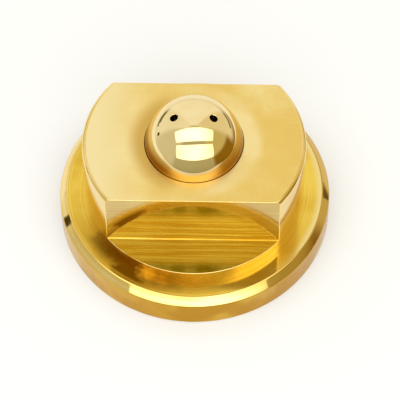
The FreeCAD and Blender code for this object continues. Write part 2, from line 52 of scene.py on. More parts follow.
# ---------------------------------------------------------------------------------------------------
# Sizes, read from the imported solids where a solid's box gives them
# ---------------------------------------------------------------------------------------------------

def low_and_high(node):
    low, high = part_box(node)
    return Vector(low) / MM, Vector(high) / MM


FLANGE_HIGH = low_and_high("flange_body")[1]
BONNET_LOW, BONNET_HIGH = low_and_high("bonnet")
DOME_LOW, DOME_HIGH = low_and_high("adjusting_dome")
SEAT_HIGH = low_and_high("seat_ring")[1]

FLANGE_RADIUS = FLANGE_HIGH.x
TUBE_TOP = FLANGE_HIGH.z
FLANGE_TOP = 7.9
RIM_CHAMFER = 1.5
FOOT_BREAK = 0.4
FLOOR_THICKNESS = 3.5
RECESS_RADIUS = 19.5
TUBE_RADIUS = 6.5
INLET_RADIUS = 4.4
POCKET_RADIUS = 4.9
POCKET_DEPTH = 2.8
CLIP_GROOVE_RADIUS = 5.3
CLIP_GROOVE = (0.6, 1.2)
SEAT_RADIUS = SEAT_HIGH.x + 0.05
SEAT_SHELF = TUBE_TOP - 2.0
INNER_SEAL = (5.95, 7.45, 1.1)          # inner and outer radius and depth of a groove in the mounting face
OUTLET_GROOVE = (8.3, 10.9, 1.2)
OUTER_SEAL = (12.7, 14.7, 1.6)
OUTLET_HOLES, OUTLET_CIRCLE, OUTLET_HOLE_RADIUS = 8, 9.6, 1.2
BOLT_HOLES, BOLT_CIRCLE, BOLT_HOLE_RADIUS, BOLT_DEPTH = 4, FLANGE_RADIUS - 5.0, 1.65, 5.5

BOSS_RADIUS = BONNET_HIGH.x
BOSS_TOP = BONNET_HIGH.z
BOSS_CHAMFER = 0.6
SPIGOT_BOTTOM = BONNET_LOW.z
SPIGOT_RADIUS = RECESS_RADIUS - 0.05
LEDGE_LEVEL = FLANGE_TOP + 3.0
FLAT_DISTANCE = 15.0
CYLINDER_RADIUS = 11.0
CYLINDER_ROOF = 19.0
COUNTERBORE_RADIUS = 12.5
COUNTERBORE_CONE = (11.4, 12.2)         # where the counterbore narrows to the cylinder

DOME_RADIUS = DOME_HIGH.x
DOME_TOP = DOME_HIGH.z
DOME_BOTTOM = DOME_LOW.z
DOME_CENTRE = DOME_TOP - DOME_RADIUS
DOME_BORE = DOME_RADIUS - 2.0
DOME_ROOF = BOSS_TOP + 2.0
DOME_HOLE = DOME_RADIUS + 0.05
SPANNER_REACH = 4.1
SPANNER_HOLE = 0.85
COUNTERSINK = 0.32          # how much wider a spanner hole's mouth is
COUNTERSINK_REACH = 0.2     # how far its cutter reaches above and below the dome's skin
BALL_POCKET_RADIUS = 2.05
BALL_POCKET_TOP = 30.15
CROWN_STEPS = 80            # rings of the dome between its widest place and its top

EDGE = 0.12                 # how far a fine deburred edge is rounded
RIM_EDGE = 0.2              # how far the corners of the flange's chamfer are rounded
BOSS_EDGE = 0.3             # how far the corners of the boss's chamfer are rounded
HOLE_EDGE = 0.03            # how far the mouth of the dome's hole is rounded
SPIGOT_EDGE = 0.4
CORNER_FILLET = 0.3         # what the milling cutter's corner leaves between flat and ledge
DARK_PATCH_CENTRE = (-14.6, -22.6, 0)            # where a painted dark patch of shade lies on the flange
FOREVER = 1e6                           # a stretch so long that a pattern doesn't change that way


# ---------------------------------------------------------------------------------------------------
# Materials
# ---------------------------------------------------------------------------------------------------

def linear(hex_colour):
    """A linear colour with alpha from an sRGB hex value such as c8a040."""
    channels = []
    for start in (0, 2, 4):
        c = int(hex_colour[start:start + 2], 16) / 255
        channels.append(c / 12.92 if c <= 0.04045 else ((c + 0.055) / 1.055) ** 2.4)
    return (*channels, 1.0)


def add(tree, kind, links=(), values=(), **settings):
    """Adds a node: links and values go to its sockets, settings are its own properties."""
    node = tree.nodes.new(kind)
    for name, value in settings.items():
        setattr(node, name, value)
    for socket, value in dict(values).items():
        node.inputs[socket].default_value = value
    for socket, source in dict(links).items():
        tree.links.new(source, node.inputs[socket])
    return node


def new_material(name):
    material = bpy.data.materials.new(name)
    material.use_nodes = True
    material.node_tree.nodes.clear()
    return material, material.node_tree


def finish_material(tree, shader):
    add(tree, "ShaderNodeOutputMaterial", {"Surface": shader.outputs[0]})


def in_mm(tree, stretch=(1, 1, 1)):
    """A piece's own coordinates in millimetres, each divided by how far a pattern is drawn out."""
    place = add(tree, "ShaderNodeTexCoord").outputs["Object"]
    scale = [1 / MM / length for length in stretch]
    return add(tree, "ShaderNodeMapping", {"Vector": place}, {"Scale": scale}).outputs[0]


def coordinate(tree, axis):
    """One coordinate (0, 1 or 2) in millimetres."""
    return add(tree, "ShaderNodeSeparateXYZ", {0: in_mm(tree)}).outputs[axis]


def distance_from(tree, axis, level=0.0):
    """How far a point is from a plane square to an axis at this level, in millimetres, on either side."""
    past = add(tree, "ShaderNodeMath", {0: coordinate(tree, axis)}, {1: level}, operation="SUBTRACT")
    return add(tree, "ShaderNodeMath", {0: past.outputs[0]}, operation="ABSOLUTE").outputs[0]


def radius_of(tree):
    """Distance from the Z axis in millimetres."""
    level = in_mm(tree, (1, 1, FOREVER))
    return add(tree, "ShaderNodeVectorMath", {0: level}, operation="LENGTH").outputs["Value"]


def turned_marks(tree, feed=0.45):
    """Rings that a lathe tool leaves round Z; its real feed of 0.1 mm is drawn coarser, so that it shows."""
    way = add(tree, "ShaderNodeMath", {0: coordinate(tree, 2), 2: radius_of(tree)}, {1: 1.7},
              operation="MULTIPLY_ADD")
    rings = add(tree, "ShaderNodeTexNoise", {"W": way.outputs[0]},
                {"Scale": 1 / feed, "Detail": 2.0, "Roughness": 0.6}, noise_dimensions="1D")
    return rings.outputs[0]


def milled_marks(tree, length=28.0, pitch=0.7):
    """Straight streaks along X from a milling cutter, a few tenths apart across them."""
    streaks = add(tree, "ShaderNodeTexNoise", {"Vector": in_mm(tree, (length, pitch, pitch))},
                  {"Scale": 1.0, "Detail": 4.0, "Roughness": 0.62})
    return streaks.outputs[0]


def lapped_marks(tree, grain=0.5):
    """The fine cloudy grain of a face rubbed flat on emery; grit of 0.02 mm is drawn as 0.5 mm to show."""
    dust = add(tree, "ShaderNodeTexNoise", {"Vector": in_mm(tree)},
               {"Scale": 1 / grain, "Detail": 3.0, "Roughness": 0.6})
    return dust.outputs[0]


def buffed_marks(tree, wave=5.0):
    """The long soft waves that a buffing wheel leaves in a mirror polish."""
    waves = add(tree, "ShaderNodeTexNoise", {"Vector": in_mm(tree)},
                {"Scale": 1 / wave, "Detail": 1.5, "Roughness": 0.4})
    return waves.outputs[0]


def soft_step(tree, source, start, end):
    """0 where the source is below start, 1 past end; or the other way round if end is below start."""
    low, high = min(start, end), max(start, end)
    flip = end < start
    step = add(tree, "ShaderNodeMapRange", {"Value": source},
               {"From Min": low, "From Max": high, "To Min": float(flip), "To Max": float(not flip)},
               interpolation_type="SMOOTHSTEP")
    return step.outputs[0]


def all_of(tree, first, *others):
    """How much a place lies in all of these masks at once."""
    result = first
    for other in others:
        result = add(tree, "ShaderNodeMath", {0: result, 1: other}, operation="MULTIPLY").outputs[0]
    return result


def patches(tree, size, least=0.0):
    """Soft patches of about this size in millimetres, from least to 1."""
    cloud = add(tree, "ShaderNodeTexNoise", {"Vector": in_mm(tree)},
                {"Scale": 1 / size, "Detail": 2.0, "Roughness": 0.5})
    patch = add(tree, "ShaderNodeMapRange", {"Value": cloud.outputs[0]},
                {"From Min": 0.38, "From Max": 0.6, "To Min": least}, interpolation_type="SMOOTHSTEP")
    return patch.outputs[0]


def along(tree, axis, start, end, least=0.0):
    """From least at start to 1 at end along an axis (0, 1 or 2), in millimetres."""
    return add(tree, "ShaderNodeMapRange", {"Value": coordinate(tree, axis)},
               {"From Min": start, "From Max": end, "To Min": least, "To Max": 1.0},
               interpolation_type="SMOOTHSTEP").outputs[0]


def painted_dark_patch(tree):
    """A painted dark patch of shade on the flange, on the left in front, ragged at its rim."""
    level = in_mm(tree, (1, 1, FOREVER))
    away = add(tree, "ShaderNodeVectorMath", {0: level}, {1: DARK_PATCH_CENTRE}, operation="DISTANCE")
    ragged = add(tree, "ShaderNodeTexNoise", {"Vector": in_mm(tree)}, {"Scale": 0.45, "Detail": 3.0})
    edge = add(tree, "ShaderNodeMath", {0: ragged.outputs[0], 2: away.outputs["Value"]}, {1: -5.0},
               operation="MULTIPLY_ADD")
    return all_of(tree, soft_step(tree, edge.outputs[0], 3.6, 0.2),
                  soft_step(tree, radius_of(tree), 27.2, 26.2))


def painted_shade_in_corner(tree):
    """Painted shade in the corner where flange and boss meet: in front, and more of it to the left, joined
    with the painted dark patch.
    """
    past_wall = add(tree, "ShaderNodeMath", {0: radius_of(tree)}, {1: BOSS_RADIUS}, operation="SUBTRACT")
    above = distance_from(tree, 2, FLANGE_TOP)
    across = add(tree, "ShaderNodeCombineXYZ", {0: past_wall.outputs[0], 1: above})
    distance = add(tree, "ShaderNodeVectorMath", {0: across.outputs[0]}, operation="LENGTH")
    near = soft_step(tree, distance.outputs["Value"], 4.6, 0.8)
    front = all_of(tree, along(tree, 1, -2.0, -18.0), along(tree, 0, 14.0, -14.0, 0.15))
    corner_shade = all_of(tree, near, front, patches(tree, 6.0, 0.35))
    return add(tree, "ShaderNodeMath", {0: corner_shade, 1: painted_dark_patch(tree)}, operation="MAXIMUM").outputs[0]


def painted_shade_on_outer_wall(tree):
    """Painted shade on the flange's outer wall, in uneven patches, standing in for the shadowed floor it
    reflects.
    """
    return all_of(tree, soft_step(tree, radius_of(tree), FLANGE_RADIUS - 0.8, FLANGE_RADIUS - 0.2),
                 patches(tree, 9.0, 0.55))


def painted_sheen_on_right(tree):
    """A painted paler sheen of light on the flange's outer edge on the right."""
    return all_of(tree, along(tree, 0, 10.0, 24.0), soft_step(tree, radius_of(tree), 25.6, 27.2))


def painted_shade_on_chamfer(tree):
    """Painted shade: the rim's chamfer on the right, a deeper gold."""
    return all_of(tree, along(tree, 0, 8.0, 20.0), soft_step(tree, radius_of(tree), 26.9, 27.5))


def painted_shade_at_ledge_edge(tree):
    """A painted darker olive band of shade along the ledge's outer edge."""
    band = soft_step(tree, distance_from(tree, 1), FLAT_DISTANCE + 4.6, FLAT_DISTANCE + 7.2)
    return all_of(tree, band, patches(tree, 7.0, 0.55))


def painted_halo_by_dome(tree):
    """A painted paler halo of light on the right of the dome."""
    ring = soft_step(tree, radius_of(tree), DOME_HOLE + 5.0, DOME_HOLE + 2.4)
    return all_of(tree, ring, along(tree, 0, -3.0, 7.0), patches(tree, 9.0, 0.4))


def painted_light_on_left(tree):
    """Painted light: the top face's far left, a little paler."""
    return along(tree, 0, -9.0, -21.0)


def painted_shade_left_of_dome(tree):
    """Painted shade: a deeper gold round the dome's left side."""
    ring = soft_step(tree, radius_of(tree), DOME_HOLE + 4.4, DOME_HOLE + 0.8)
    return all_of(tree, ring, along(tree, 0, -2.0, -9.0))


def painted_shade_on_dome_foot(tree):
    """Painted shade low down on the dome, most of all at its sides."""
    sides = add(tree, "ShaderNodeMapRange", {"Value": distance_from(tree, 0)},
                {"From Min": 2.5, "From Max": 7.0, "To Min": 0.45}, interpolation_type="SMOOTHSTEP")
    return all_of(tree, along(tree, 2, DOME_CENTRE + 5.6, DOME_CENTRE + 2.0), sides.outputs[0])


def worked(name, marks_of, pale, deep, roughness, spread, depth, metallic=1.0, cloud=14.0, cloud_share=0.5,
           painted_tones=()):
    """A surface whose tool marks and faint clouds change its tone between pale and deep.

    Roughness moves by spread with the marks, and depth is how deep they are in millimetres. Each entry of
    painted light or shade is a function that says where it lies, its painted colour, and how much rougher the
    surface is there.
    """
    material, tree = new_material(name)
    marks = marks_of(tree)
    clouds = add(tree, "ShaderNodeTexNoise", {"Vector": in_mm(tree)},
                 {"Scale": 1 / cloud, "Detail": 3.0, "Roughness": 0.5})
    both = add(tree, "ShaderNodeMix", {2: marks, 3: clouds.outputs[0]}, {0: cloud_share}, data_type="FLOAT")
    tone = add(tree, "ShaderNodeMapRange", {"Value": both.outputs[0]}, {"From Min": 0.36, "From Max": 0.64},
               interpolation_type="SMOOTHSTEP")
    colour = add(tree, "ShaderNodeMix", {0: tone.outputs[0]}, {6: linear(deep), 7: linear(pale)},
                 data_type="RGBA")
    rough = add(tree, "ShaderNodeMapRange", {"Value": both.outputs[0]},
                {"From Min": 0.3, "From Max": 0.7,
                 "To Min": roughness + spread, "To Max": roughness - spread})
    # Mix each entry's painted light and shade into the colour, and add its roughness.
    for painted_mask_of, painted_colour, rougher in painted_tones:
        where = painted_mask_of(tree)
        colour = add(tree, "ShaderNodeMix", {0: where, 6: colour.outputs[2]}, {7: linear(painted_colour)},
                     data_type="RGBA")
        rough = add(tree, "ShaderNodeMath", {0: where, 2: rough.outputs[0]}, {1: rougher},
                    operation="MULTIPLY_ADD")
    bump = add(tree, "ShaderNodeBump", {"Height": marks}, {"Distance": depth * MM})
    shader = add(tree, "ShaderNodeBsdfPrincipled",
                 {"Base Color": colour.outputs[2], "Roughness": rough.outputs[0], "Normal": bump.outputs[0]},
                 {"Metallic": metallic})
    finish_material(tree, shader)
    return material


# The adjuster's dome: brass buffed to a mirror, which shows its surroundings sharp and a little wavy, with
# painted shade low down on its sides.
mirror_brass = worked("mirror_polished_brass", buffed_marks, "f8e2aa", "f2d898", 0.05, 0.015, 0.004,
                      painted_tones=[(painted_shade_on_dome_foot, "a87412", 0.04)])
# The top face: brass lapped on emery, a soft pale gold without lines, with painted light at its far left
# and on the right of the dome, and painted shade, a deeper gold, close to the dome's left.
satin_brass = worked("lapped_satin_brass", lapped_marks, "f4dc92", "e8c468", 0.33, 0.03, 0.003,
                     cloud=16.0, cloud_share=0.85,
                     painted_tones=[(painted_light_on_left, "f4e0a4", 0.0), (painted_halo_by_dome, "f4dc98", 0.0),
                             (painted_shade_left_of_dome, "d4ac58", 0.0)])
# The spanner flats: fly-cut and polished, so they mirror the ledge with fine level lines.
flat_brass = worked("fly_cut_brass", lambda tree: milled_marks(tree, 40.0, 0.5), "dec486", "ceb06c",
                    0.07, 0.02, 0.001)
# The ledges: end-milled and left so, with long streaks of gold and brown, and a painted band of shade along
# the outer edge.
ledge_brass = worked("end_milled_brass", milled_marks, "fee870", "cea526", 0.2, 0.06, 0.006,
                     cloud=20.0, cloud_share=0.1, painted_tones=[(painted_shade_at_ledge_edge, "98800e", 0.0)])
# Turned and polished: the chamfers and the boss, bright with fine rings, with painted shade in the corner by
# the flange and on the rim chamfer's right.
turned_brass = worked("turned_polished_brass", turned_marks, "f6dc98", "ecca72", 0.06, 0.02, 0.002,
                      cloud=10.0, cloud_share=0.6,
                      painted_tones=[(painted_shade_in_corner, "c8982c", 0.22), (painted_shade_on_chamfer, "d2ac58", 0.0)])
# Turned with a duller tool: the flange's upper face and rim, a deeper gold, with a painted paler sheen on the
# right, painted shade on the outer wall and painted shade in the corner by the boss.
rim_brass = worked("turned_brass_deep_gold", turned_marks, "f0cc54", "d8a832", 0.13, 0.04, 0.002,
                   cloud=12.0, cloud_share=0.7,
                   painted_tones=[(painted_sheen_on_right, "f0d688", 0.0), (painted_shade_on_outer_wall, "c08e16", 0.1),
                           (painted_shade_in_corner, "745004", 0.25)])
# The mounting face: turned flat and left fine and dull, so that the o-rings seal on it.
faced_brass = worked("faced_brass", lambda tree: turned_marks(tree, 0.35), "efd389", "d9b25a", 0.26,
                     0.06, 0.004, cloud_share=0.3)
# Small turned parts inside, left bright from the tool.
small_brass = worked("bar_turned_brass", lambda tree: turned_marks(tree, 0.2), "eecf86", "d6ae58", 0.2,
                     0.05, 0.002, cloud_share=0.3)
# Stainless steel turned or punched from strip, grey with fine rings.
stainless = worked("bright_stainless_steel", lambda tree: turned_marks(tree, 0.2), "c9c8c5", "adaca9", 0.24,
                   0.05, 0.002, cloud_share=0.3)
# Hard drawn spring wire with a thin dark film from heat treatment.
spring_steel = worked("drawn_spring_steel", lapped_marks, "a9a7a2", "7f7c77", 0.3, 0.06, 0.003)
# Mild steel with bright zinc plating, cool and slightly cloudy.
zinc_steel = worked("zinc_plated_steel", lapped_marks, "d3d6d8", "b9bdc0", 0.28, 0.06, 0.002, cloud=4.0)
# A ground bearing ball, close to a mirror.
ball_steel = worked("ground_bearing_steel", buffed_marks, "d0d2d6", "c2c4c9", 0.08, 0.02, 0.001, cloud=3.0)
# Nitrile rubber from a polished mould, black with a faint sheen and specks of talc.
nitrile = worked("moulded_nitrile_rubber", lapped_marks, "2b2b2c", "1a1a1b", 0.5, 0.08, 0.004, metallic=0.0,
                 cloud=2.5)
# The valve's rubber disc, ground flat, greyer and duller than the rings.
ground_rubber = worked("ground_nitrile_rubber", lapped_marks, "3a3a3c", "29292b", 0.68, 0.08, 0.006,
                       metallic=0.0, cloud=2.0)
# A band cut from white PTFE, waxy and faintly streaked.
ptfe = worked("cut_ptfe_band", lambda tree: turned_marks(tree, 0.2), "efece4", "e0dcd0", 0.42, 0.06, 0.002,
              metallic=0.0, cloud=3.0)

CAD_FINISHES = {
    "seat_ring": small_brass,
    "piston": small_brass,
    "poppet_guide": stainless,
    "strainer_ring": stainless,
    "strainer_screen": stainless,
    "poppet": stainless,
    "disc_washer": stainless,
    "retaining_clip": spring_steel,
    "main_spring": spring_steel,
    "poppet_spring": spring_steel,
    "spring_button": zinc_steel,
    "thrust_ball": ball_steel,
    "piston_guide_ring": ptfe,
    "poppet_disc": ground_rubber,
    "inlet_face_oring": nitrile,
    "outlet_face_oring": nitrile,
    "bonnet_oring": nitrile,
    "seat_oring": nitrile,
    "dome_oring": nitrile,
    "piston_oring": nitrile,
}


# ---------------------------------------------------------------------------------------------------
# Mesh helpers
# ---------------------------------------------------------------------------------------------------

def spun(profile, steps=ROUND):
    """A closed profile turned round Z. Each corner is (radius, height) or (radius, height, rounding)."""
    bm = bmesh.new()
    verts = [bm.verts.new((corner[0], 0, corner[1])) for corner in profile]
    for a, b in zip(verts, verts[1:] + verts[:1]):
        bm.edges.new((a, b))
    for rounding in sorted({corner[2] for corner in profile if len(corner) > 2}):
        chosen = [v for v, corner in zip(verts, profile) if corner[2:] == (rounding,)]
        bmesh.ops.bevel(
            bm, geom=chosen, offset=rounding, segments=3, profile=0.5, affect="VERTICES", material=-1)
    bmesh.ops.spin(
        bm, geom=bm.verts[:] + bm.edges[:], cent=(0, 0, 0), axis=(0, 0, 1), angle=math.tau,
        steps=steps, use_merge=True)
    bmesh.ops.remove_doubles(bm, verts=bm.verts, dist=1e-5)
    bmesh.ops.delete(bm, geom=[e for e in bm.edges if e.is_wire], context="EDGES")
    bmesh.ops.recalc_face_normals(bm, faces=bm.faces)
    return bm


def drill(bm, radius, low, high, place, tilt=Matrix.Identity(4), low_radius=None):
    """Adds a closed cylinder or cone to a bmesh, from low to high, tilted, then put in place."""
    bmesh.ops.create_cone(
        bm, cap_ends=True, segments=HOLE_ROUND, radius1=radius if low_radius is None else low_radius,
        radius2=radius, depth=high - low,
        matrix=Matrix.Translation(place) @ tilt @ Matrix.Translation((0, 0, (low + high) / 2)))


def carved(bm, tool):
    """The shape in bm with the tool's shape taken out; both bmeshes are used up."""
    objects = []
    for name, shape in (("blank", bm), ("tool", tool)):
        mesh = bpy.data.meshes.new(name)
        shape.to_mesh(mesh)
        shape.free()
        obj = bpy.data.objects.new(name, mesh)
        bpy.context.scene.collection.objects.link(obj)
        objects.append(obj)
    blank, cutter = objects
    cut = blank.modifiers.new("cut", "BOOLEAN")
    cut.operation = "DIFFERENCE"
    cut.solver = "EXACT"
    cut.object = cutter
    left = bpy.data.meshes.new_from_object(blank.evaluated_get(bpy.context.evaluated_depsgraph_get()))
    result = bmesh.new()
    result.from_mesh(left)
    bpy.data.objects.remove(blank)
    bpy.data.objects.remove(cutter)
    return result


def to_object(bm, name, body, node, materials, sharp=0.7):
    """The bmesh, drawn in millimetres, as an object that rides on a body and stands for a CAD node."""
    bmesh.ops.scale(bm, vec=(MM, MM, MM), verts=bm.verts)
    for face in bm.faces:
        face.smooth = True
    for edge in bm.edges:
        edge.smooth = edge.is_manifold and edge.calc_face_angle(0) < sharp
    mesh = bpy.data.meshes.new(name)
    bm.to_mesh(mesh)
    bm.free()
    for material in materials:
        mesh.materials.append(material)
    obj = bpy.data.objects.new(name, mesh)
    bpy.context.scene.collection.objects.link(obj)
    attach(obj, body)
    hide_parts(node)
    return obj


def keep_flats_flat(obj):
    """Lets large faces rule the shading, so that fine rounded edges don't bend the look of flat ones."""
    weigh = obj.modifiers.new("flat_faces", "WEIGHTED_NORMAL")
    weigh.mode = "FACE_AREA"
    weigh.keep_sharp = True


# ---------------------------------------------------------------------------------------------------
# Brass pieces
# ---------------------------------------------------------------------------------------------------

def groove(inner, outer, depth):
    """The corners of a groove in the mounting face, its mouth a little rounded."""
    return [(inner, 0, EDGE), (inner, depth), (outer, depth), (outer, 0, EDGE)]


def make_flange():
    profile = [
        (POCKET_RADIUS, 0, EDGE), *groove(*INNER_SEAL), *groove(*OUTLET_GROOVE), *groove(*OUTER_SEAL),
        (FLANGE_RADIUS - FOOT_BREAK, 0, EDGE),
        (FLANGE_RADIUS, FOOT_BREAK, EDGE),
        (FLANGE_RADIUS, FLANGE_TOP - RIM_CHAMFER, RIM_EDGE),
        (FLANGE_RADIUS - RIM_CHAMFER, FLANGE_TOP, RIM_EDGE),
        (RECESS_RADIUS, FLANGE_TOP), (RECESS_RADIUS, FLOOR_THICKNESS),
        (TUBE_RADIUS, FLOOR_THICKNESS), (TUBE_RADIUS, TUBE_TOP, EDGE), (SEAT_RADIUS, TUBE_TOP, EDGE),
        (SEAT_RADIUS, SEAT_SHELF), (INLET_RADIUS, SEAT_SHELF),
        (INLET_RADIUS, POCKET_DEPTH), (POCKET_RADIUS, POCKET_DEPTH),
        (POCKET_RADIUS, CLIP_GROOVE[1]), (CLIP_GROOVE_RADIUS, CLIP_GROOVE[1]),
        (CLIP_GROOVE_RADIUS, CLIP_GROOVE[0]), (POCKET_RADIUS, CLIP_GROOVE[0])]
    bm = spun(profile)
    tool = bmesh.new()
    groove_floor = OUTLET_GROOVE[2]
    for i in range(OUTLET_HOLES):
        spot = Matrix.Rotation(math.tau * i / OUTLET_HOLES, 3, "Z") @ Vector((OUTLET_CIRCLE, 0, 0))
        drill(tool, OUTLET_HOLE_RADIUS, groove_floor - 0.5, FLOOR_THICKNESS + 0.5, spot)
    for i in range(BOLT_HOLES):
        spot = Matrix.Rotation(math.tau * (i + 0.5) / BOLT_HOLES, 3, "Z") @ Vector((BOLT_CIRCLE, 0, 0))
        drill(tool, BOLT_HOLE_RADIUS, -0.5, BOLT_DEPTH, spot)
    bm = carved(bm, tool)
    for face in bm.faces:
        middle = face.calc_center_median()
        out = math.hypot(middle.x, middle.y)
        on_rim = FOOT_BREAK < middle.z < FLANGE_TOP - RIM_CHAMFER and out > BOSS_RADIUS
        if middle.z < OUTER_SEAL[2] + EDGE and out < FLANGE_RADIUS - FOOT_BREAK - EDGE:
            face.material_index = 1
        elif on_rim or (face.normal.z > 0.99 and middle.z > FLANGE_TOP - 0.01):
            face.material_index = 2
    flange = to_object(bm, "flange", "body", "flange_body", [turned_brass, faced_brass, rim_brass])
    keep_flats_flat(flange)


def mill_flat(bm, side):
    """Cuts the boss away beyond a flat down to its ledge, and rounds the new edges a little."""
    upper = [f for f in bm.faces if min(v.co.z for v in f.verts) > LEDGE_LEVEL - 1e-4]
    parts = upper + list({e for f in upper for e in f.edges}) + list({v for f in upper for v in f.verts})
    bmesh.ops.bisect_plane(
        bm, geom=parts, dist=1e-5, plane_co=(0, side * FLAT_DISTANCE, 0), plane_no=(0, side, 0))
    beyond = [f for f in bm.faces if f.calc_center_median().y * side > FLAT_DISTANCE
              and min(v.co.z for v in f.verts) > LEDGE_LEVEL - 1e-4]
    bmesh.ops.delete(bm, geom=beyond, context="FACES")

    def on_flat(v):
        return abs(v.co.y - side * FLAT_DISTANCE) < 1e-3

    def on_ledge(v):
        return abs(v.co.z - LEDGE_LEVEL) < 1e-3 and v.co.y * side > FLAT_DISTANCE - 1e-3

    ends = sorted((v for v in bm.verts if on_flat(v) and on_ledge(v)), key=lambda v: v.co.x)
    corner = bm.edges.new((ends[0], ends[-1]))
    open_edges = [e for e in bm.edges if e.is_boundary] + [corner]
    flat = bmesh.ops.contextual_create(bm, geom=[e for e in open_edges if all(map(on_flat, e.verts))])
    ledge = bmesh.ops.contextual_create(bm, geom=[e for e in open_edges if all(map(on_ledge, e.verts))])
    flat["faces"][0].material_index = 2
    ledge["faces"][0].material_index = 3
    bmesh.ops.recalc_face_normals(bm, faces=bm.faces)
    bmesh.ops.bevel(
        bm, geom=[corner], offset=CORNER_FILLET, segments=4, profile=0.5, affect="EDGES", material=0)
    crisp = [e for e in bm.edges if e.is_manifold and e.calc_face_angle(0) > 0.7
             and min(v.co.y * side for v in e.verts) > FLAT_DISTANCE - 1e-3
             and min(v.co.z for v in e.verts) > LEDGE_LEVEL - 1e-3]
    bmesh.ops.bevel(
        bm, geom=crisp, offset=EDGE, segments=3, profile=0.5, affect="EDGES", material=0,
        clamp_overlap=False)


def make_bonnet():
    profile = [
        (COUNTERBORE_RADIUS, SPIGOT_BOTTOM, EDGE),
        (SPIGOT_RADIUS, SPIGOT_BOTTOM, SPIGOT_EDGE),
        (SPIGOT_RADIUS, FLANGE_TOP),
        (BOSS_RADIUS, FLANGE_TOP),
        (BOSS_RADIUS, LEDGE_LEVEL),
        (BOSS_RADIUS, BOSS_TOP - BOSS_CHAMFER, BOSS_EDGE),
        (BOSS_RADIUS - BOSS_CHAMFER, BOSS_TOP, BOSS_EDGE),
        (DOME_HOLE, BOSS_TOP, HOLE_EDGE),
        (DOME_HOLE, CYLINDER_ROOF),
        (CYLINDER_RADIUS, CYLINDER_ROOF),
        (CYLINDER_RADIUS, COUNTERBORE_CONE[1]),
        (COUNTERBORE_RADIUS, COUNTERBORE_CONE[0])]
    bm = spun(profile)
    for side in (-1, 1):
        mill_flat(bm, side)
    bmesh.ops.recalc_face_normals(bm, faces=bm.faces)
    for face in bm.faces:
        if face.normal.z > 0.99 and face.calc_center_median().z > BOSS_TOP - 0.01:
            face.material_index = 1
    bonnet = to_object(
        bm, "bonnet_shell", "body", "bonnet", [turned_brass, satin_brass, flat_brass, ledge_brass])
    keep_flats_flat(bonnet)


def make_dome():
    quarter = [math.pi / 2 * i / CROWN_STEPS for i in range(1, CROWN_STEPS)]
    crown = [(DOME_RADIUS * math.cos(a), DOME_CENTRE + DOME_RADIUS * math.sin(a)) for a in quarter]
    profile = [
        (DOME_BORE, DOME_BOTTOM), (DOME_RADIUS, DOME_BOTTOM, EDGE), (DOME_RADIUS, DOME_CENTRE), *crown,
        (0, DOME_TOP), (0, BALL_POCKET_TOP), (BALL_POCKET_RADIUS, BALL_POCKET_TOP),
        (BALL_POCKET_RADIUS, DOME_ROOF), (DOME_BORE, DOME_ROOF)]
    bm = spun(profile)
    centre = Vector((0, 0, DOME_CENTRE))
    holes, mouths = bmesh.new(), bmesh.new()
    for side in (-1, 1):
        reach = Vector((side * SPANNER_REACH, 0, 0))
        drill(holes, SPANNER_HOLE, DOME_ROOF - 1.0, DOME_TOP + 1.0, reach)
        mouth = centre + reach + Vector((0, 0, math.sqrt(DOME_RADIUS ** 2 - SPANNER_REACH ** 2)))
        outward = (mouth - centre).to_track_quat("Z", "Y").to_matrix().to_4x4()
        drill(
            mouths, SPANNER_HOLE + COUNTERSINK, -COUNTERSINK_REACH, COUNTERSINK_REACH, mouth, outward,
            low_radius=SPANNER_HOLE - 0.08)
    bm = carved(carved(bm, holes), mouths)
    dome = to_object(bm, "dome", "dome", "adjusting_dome", [mirror_brass], sharp=0.35)
    mesh = dome.data
    normals = [Vector(corner.vector) for corner in mesh.corner_normals]
    middle = centre * MM
    for face in mesh.polygons:
        outward = (face.center - middle).normalized()
        if face.center.z > middle.z and outward.dot(face.normal) > 0.999 and face.center.z > 0:
            for loop in face.loop_indices:
                place = mesh.vertices[mesh.loops[loop].vertex_index].co
                normals[loop] = (place - middle).normalized()
    mesh.normals_split_custom_set(normals)


make_flange()
make_bonnet()
make_dome()
for node_name, finish in CAD_FINISHES.items():
    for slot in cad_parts[node_name].material_slots:
        slot.material = finish


# ---------------------------------------------------------------------------------------------------
# Studio: floor, light and camera
# ---------------------------------------------------------------------------------------------------

def sight_rays(tree):
    """Which rays come straight from the camera, and which by way of metal or glass."""
    path = add(tree, "ShaderNodeLightPath")
    mirrored = add(tree, "ShaderNodeMath",
                   {0: path.outputs["Is Glossy Ray"], 1: path.outputs["Is Transmission Ray"]},
                   operation="MAXIMUM")
    return path.outputs["Is Camera Ray"], mirrored.outputs[0]


FLOOR_GLOW = 0.3


def make_floor():
    """A sheet of white paper that glows a little where it is seen, so it is white but keeps a soft shadow."""
    left, right, front, back = -0.30, 0.12, -0.11, 0.45         # in metres
    bm = bmesh.new()
    bmesh.ops.create_grid(bm, x_segments=1, y_segments=1, size=0.5)
    bmesh.ops.scale(bm, vec=(right - left, back - front, 1), verts=bm.verts)
    bmesh.ops.translate(bm, vec=((left + right) / 2, (front + back) / 2, 0), verts=bm.verts)
    mesh = bpy.data.meshes.new("floor")
    bm.to_mesh(mesh)
    bm.free()
    floor = bpy.data.objects.new("floor", mesh)
    bpy.context.scene.collection.objects.link(floor)
    material, tree = new_material("white_paper")
    paper = add(tree, "ShaderNodeBsdfDiffuse", values={"Color": linear("eef1f8")})
    white = add(tree, "ShaderNodeEmission")
    both = add(tree, "ShaderNodeMixShader", {1: paper.outputs[0], 2: white.outputs[0]},
               {0: FLOOR_GLOW})
    camera, mirrored = sight_rays(tree)
    seen = add(tree, "ShaderNodeMath", {0: camera, 1: mirrored}, operation="MAXIMUM")
    mix = add(tree, "ShaderNodeMixShader", {0: seen.outputs[0], 1: paper.outputs[0], 2: both.outputs[0]})
    finish_material(tree, mix)
    mesh.materials.append(material)


